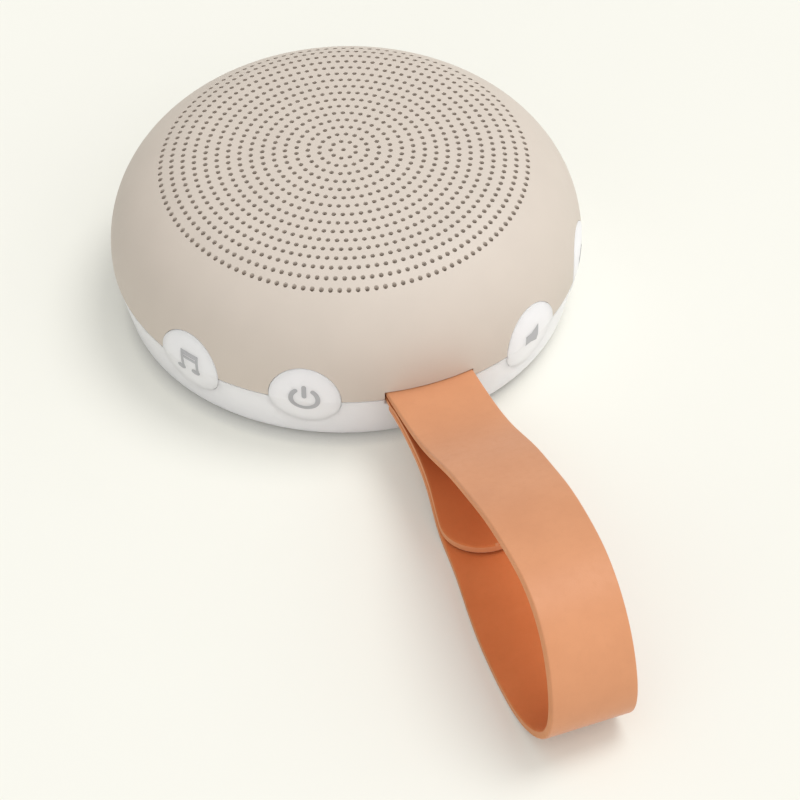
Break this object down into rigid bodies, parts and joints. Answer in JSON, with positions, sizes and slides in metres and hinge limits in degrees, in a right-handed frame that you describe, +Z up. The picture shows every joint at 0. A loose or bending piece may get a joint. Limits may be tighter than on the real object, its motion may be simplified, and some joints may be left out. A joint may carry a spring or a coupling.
{
  "type": "white noise sound machine",
  "caption": "Portable round sound machine with a perforated dome, side buttons in the seam and a folded leather carry strap.",
  "frame": {"origin": "on the table, under the body's axis: centre of the foot pad's underside", "axes": "+Z up along the body's axis; the strap points along -Y, the charging socket is at +Y, +X completes the frame"},
  "size_m": [0.1, 0.193, 0.038],
  "materials": {
    "beige_shell": "fine-grained matte moulding",
    "white_shell": "smooth satin moulding",
    "white_button": "smooth satin moulding",
    "tan_leather": "smooth tan leather with a fine grain",
    "mesh_cloth": "dark taupe woven cloth",
    "foot_rubber": "matte",
    "seal_rubber": "matte",
    "foam": "open foam",
    "steel": "zinc plated",
    "dark_steel": "blackened",
    "frame_plastic": "matte moulding",
    "circuit_board": "green solder mask",
    "chip_black": "matte",
    "can_aluminium": "drawn can",
    "ferrite": "ground ferrite",
    "plug_nylon": "nylon",
    "red_lead": "insulated wire",
    "black_lead": "insulated wire",
    "lamp_body": "clear epoxy",
    "light_pipe": "clear",
    "battery_foil": "laminated pouch",
    "basket_steel": "pressed steel",
    "plated_iron": "zinc plated",
    "spider_cloth": "impregnated cloth",
    "copper_coil": "enamelled wire",
    "cone_paper": "pressed paper pulp",
    "terminal_board": "phenolic board"
  },
  "bodies": {
    "housing": {"top_shell": "beige_shell", "acoustic_cloth": "mesh_cloth", "base_shell": "white_shell", "foot_pad": "foot_rubber", "case_screws": "steel", "inner_frame": "frame_plastic", "frame_screws": "steel", "main_pcb": "circuit_board", "pcb_chips": "chip_black", "pcb_capacitors": "can_aluminium", "power_inductor": "ferrite", "usb_c_connector": "steel", "usb_c_tongue": "chip_black", "battery_connector": "plug_nylon", "speaker_connector": "plug_nylon", "tact_switches": "chip_black", "battery": "battery_foil", "battery_pad": "foam", "battery_leads": "red_lead", "speaker_leads": "black_lead", "charge_led": "lamp_body", "charge_light_pipe": "light_pipe", "speaker_gasket": "foam", "speaker_basket": "basket_steel", "speaker_magnet": "ferrite", "speaker_yoke": "plated_iron", "speaker_top_plate": "plated_iron", "speaker_spider": "spider_cloth", "speaker_surround": "seal_rubber", "speaker_terminals": "terminal_board", "speaker_screws": "dark_steel", "strap_fold": "tan_leather", "strap_pin": "steel"},
    "power_key": {"power_button": "white_button", "power_switch_plunger": "plug_nylon"},
    "sound_key": {"sound_button": "white_button", "sound_switch_plunger": "plug_nylon"},
    "volume_down_key": {"volume_down_button": "white_button", "volume_down_switch_plunger": "plug_nylon"},
    "volume_up_key": {"volume_up_button": "white_button", "volume_up_switch_plunger": "plug_nylon"},
    "cone_assembly": {"voice_coil": "copper_coil", "speaker_cone": "cone_paper", "dust_cap": "cone_paper"},
    "strap_loop": {"strap": "tan_leather"}
  },
  "joints": [
    {"name": "power_press", "type": "slide", "parent": "housing", "child": "power_key", "axis": [0.5045, 0.8634, 0], "range_m": [0, 0.0006], "stiffness_N_per_m": 2000, "springref_m": -0.0004},
    {"name": "sound_press", "type": "slide", "parent": "housing", "child": "sound_key", "axis": [0.8763, 0.4818, 0], "range_m": [0, 0.0006], "stiffness_N_per_m": 2000, "springref_m": -0.0004},
    {"name": "volume_down_press", "type": "slide", "parent": "housing", "child": "volume_down_key", "axis": [-0.5045, 0.8634, 0], "range_m": [0, 0.0006], "stiffness_N_per_m": 2000, "springref_m": -0.0004},
    {"name": "volume_up_press", "type": "slide", "parent": "housing", "child": "volume_up_key", "axis": [-0.8763, 0.4818, 0], "range_m": [0, 0.0006], "stiffness_N_per_m": 2000, "springref_m": -0.0004},
    {"name": "cone_travel", "type": "slide", "parent": "housing", "child": "cone_assembly", "axis": [0, 0, 1], "range_m": [-0.0008, 0.0008], "stiffness_N_per_m": 2000, "deforming": ["speaker_spider", "speaker_surround"]},
    {"name": "strap_lift", "type": "hinge", "parent": "housing", "child": "strap_loop", "pos_m": [0, -0.0518, 0.013], "axis": [-1, 0, 0], "range_deg": [0, 85], "deforming": ["strap_fold"]}
  ]
}
